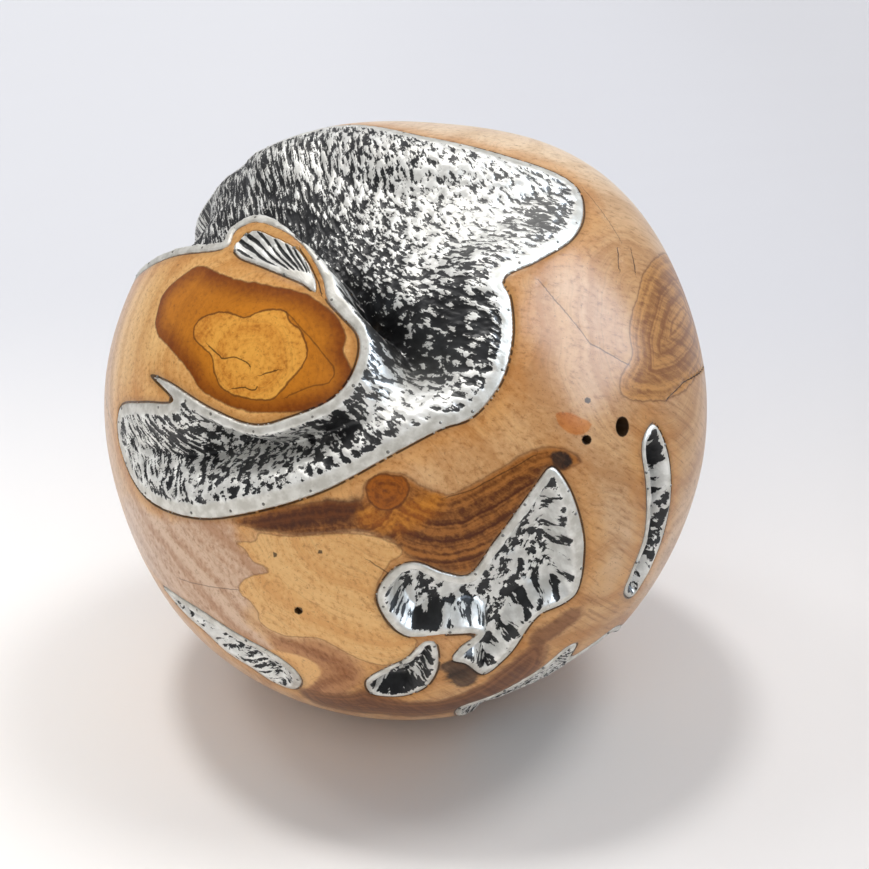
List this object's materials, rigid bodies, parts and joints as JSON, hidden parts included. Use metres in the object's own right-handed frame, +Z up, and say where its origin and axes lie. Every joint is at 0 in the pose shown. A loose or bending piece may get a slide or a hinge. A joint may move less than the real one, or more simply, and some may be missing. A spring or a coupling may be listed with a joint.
{
  "type": "decorative ball",
  "caption": "Solid teak root ball for display, its natural hollows lined with beaten, darkened aluminium sheet held at smooth rims; it lies on a small flat spot.",
  "frame": {"origin": "middle of the flat spot underneath, on the surface that the ball lies on", "axes": "+Z up, -Y towards the pictured front with the knob at the upper left, +X to the right as seen from there"},
  "size_m": [0.497, 0.4987, 0.491],
  "materials": {
    "teak": "polished and waxed",
    "beaten_aluminium": "hammered, darkened in the recesses and polished on the ridges"
  },
  "bodies": {
    "root": {"teak_ball": "teak", "main_hollow_lining": "beaten_aluminium", "knob_notch_lining": "beaten_aluminium", "front_hollow_lining": "beaten_aluminium", "leaf_hollow_lining": "beaten_aluminium", "side_slot_lining": "beaten_aluminium", "left_foot_lining": "beaten_aluminium", "low_right_lining": "beaten_aluminium", "back_hollow_lining": "beaten_aluminium", "back_leaf_lining": "beaten_aluminium"}
  },
  "joints": []
}
